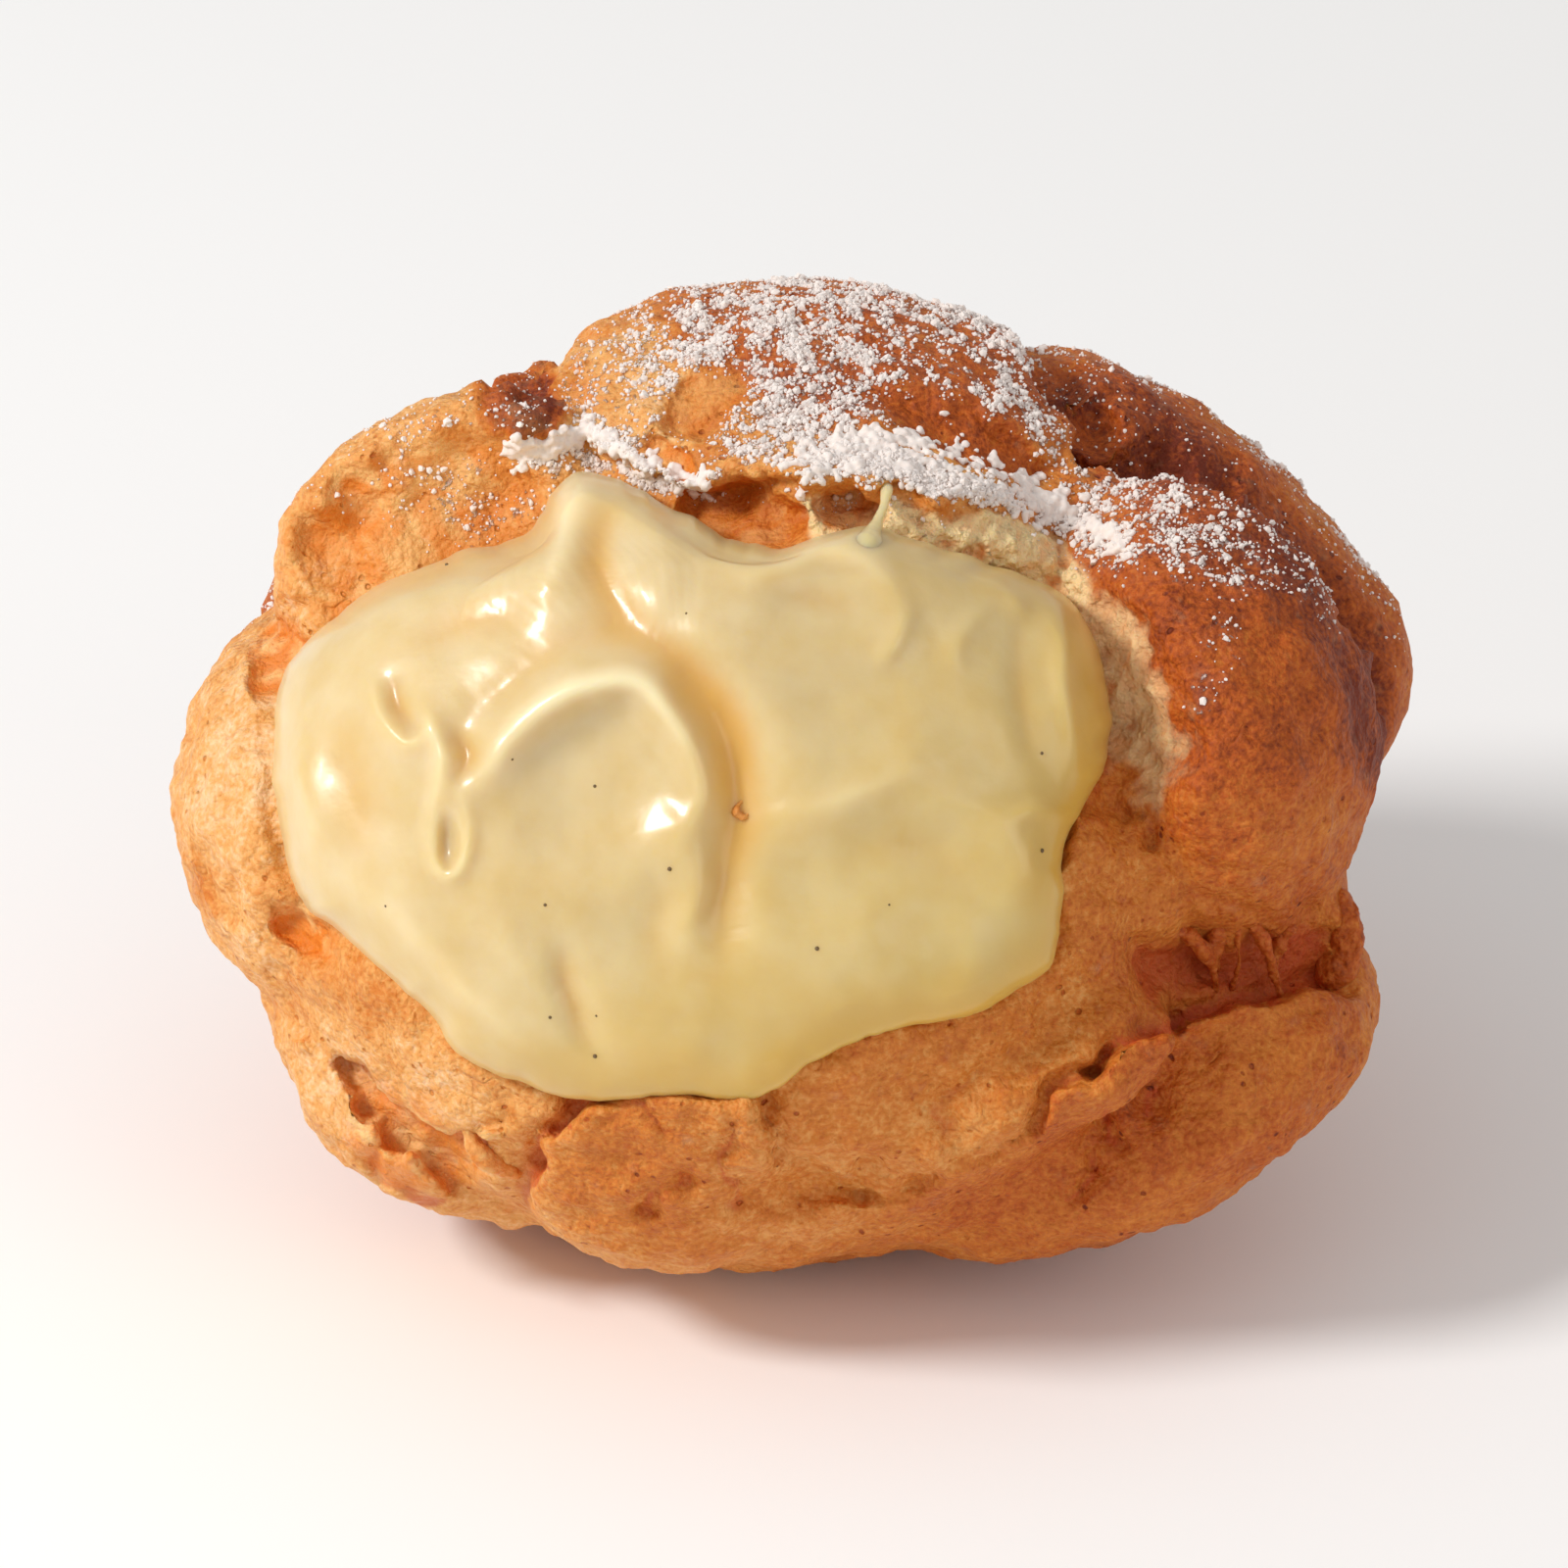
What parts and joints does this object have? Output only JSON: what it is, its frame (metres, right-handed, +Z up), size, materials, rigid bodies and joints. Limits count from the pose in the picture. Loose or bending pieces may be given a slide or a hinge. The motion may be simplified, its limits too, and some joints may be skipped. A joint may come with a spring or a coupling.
{
  "type": "cream puff",
  "caption": "Large round cream puff with a torn-open front: a lobed, hollow choux pastry shell with a flat base, filled with a bulging plug of custard cream.",
  "frame": {"origin": "middle of the puff's outline on the plane of its flat base", "axes": "+Z up from the base, -Y towards the torn face that shows the cream, +X to the right of that face"},
  "size_m": [0.0846, 0.071, 0.061],
  "materials": {
    "baked_choux": "dry, flaky baked crust, golden to brown",
    "custard": "soft glossy pale yellow custard"
  },
  "bodies": {
    "root": {"choux_shell": "baked_choux", "custard_cream": "custard"}
  },
  "joints": []
}
